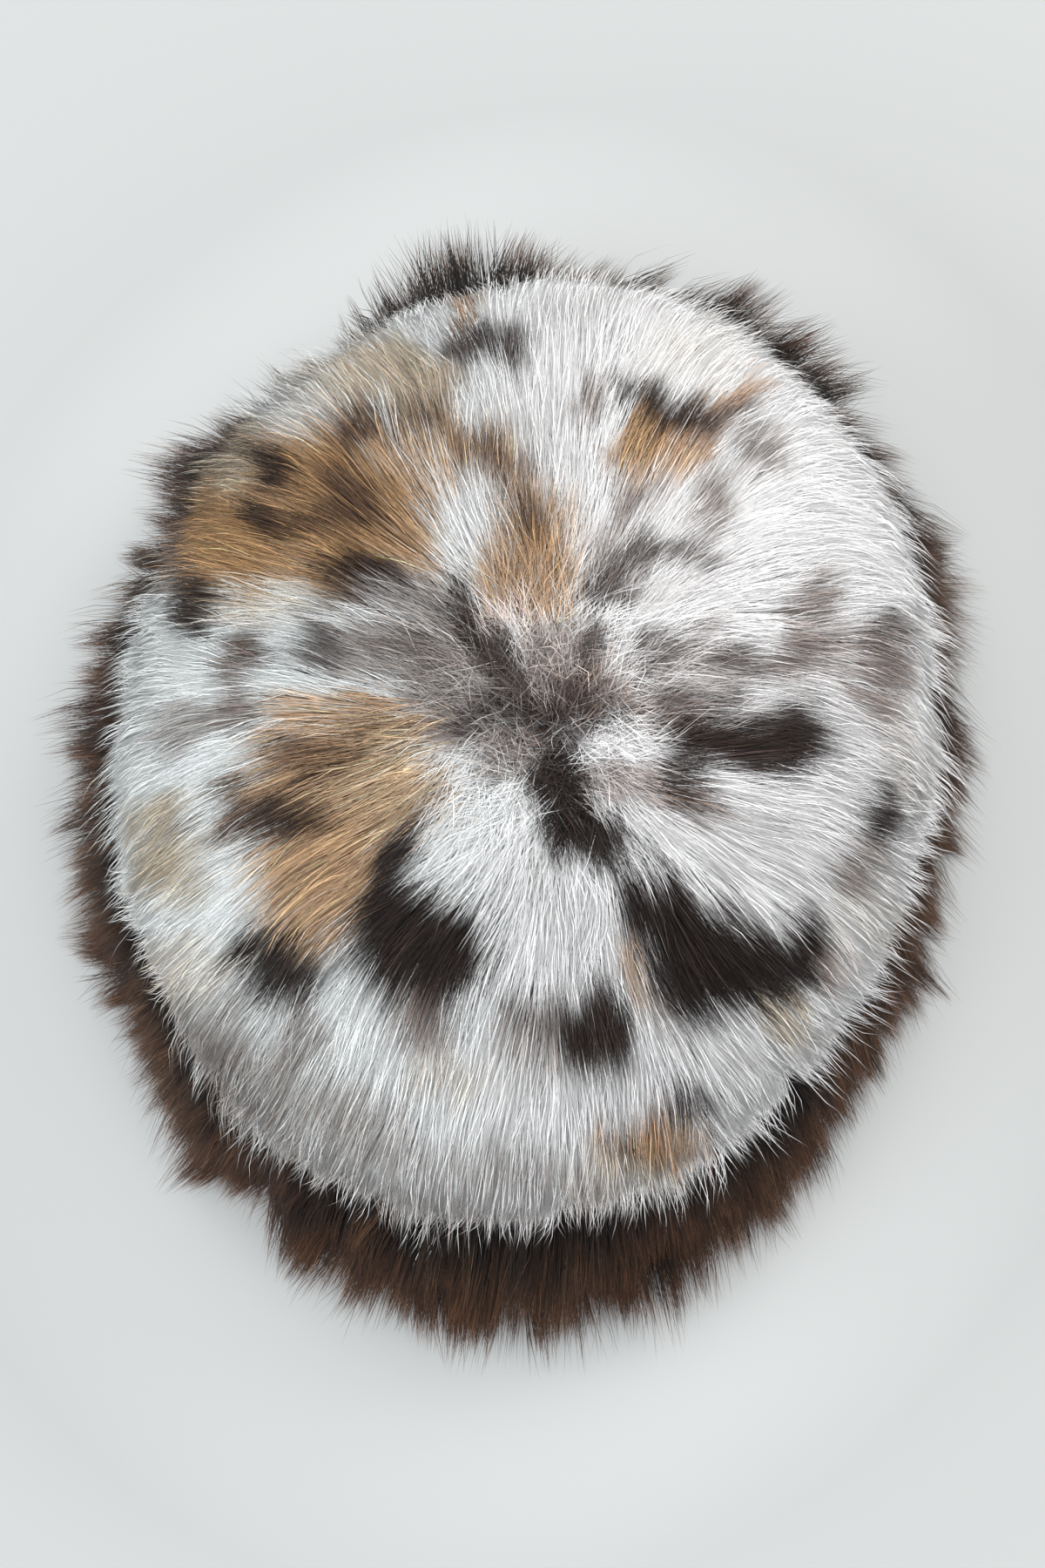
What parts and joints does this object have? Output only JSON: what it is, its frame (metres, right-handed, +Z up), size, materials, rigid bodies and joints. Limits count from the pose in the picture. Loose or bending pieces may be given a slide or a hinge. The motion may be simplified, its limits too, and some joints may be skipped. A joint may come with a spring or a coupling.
{
  "type": "fur-trimmed hat",
  "caption": "Round brimless fur hat: a low domed crown of spotted long-pile fur gores meeting at a point, over a deep dark brown fur band.",
  "frame": {"origin": "middle of the outline on the floor the hat rests on", "axes": "+Z up through the crown, +Y towards the back of the hat, +X towards the wearer's left"},
  "size_m": [0.231, 0.2859, 0.131],
  "materials": {
    "spotted_fur": "long soft pile, white with tan, grey and near-black spots",
    "brown_fur": "long soft pile, dark brown with lighter brown tips"
  },
  "bodies": {
    "root": {"crown_gore_back": "spotted_fur", "crown_gore_back_left": "spotted_fur", "crown_gore_back_right": "spotted_fur", "crown_gore_front": "spotted_fur", "crown_gore_front_left": "spotted_fur", "crown_gore_front_right": "spotted_fur", "fur_band": "brown_fur"}
  },
  "joints": []
}
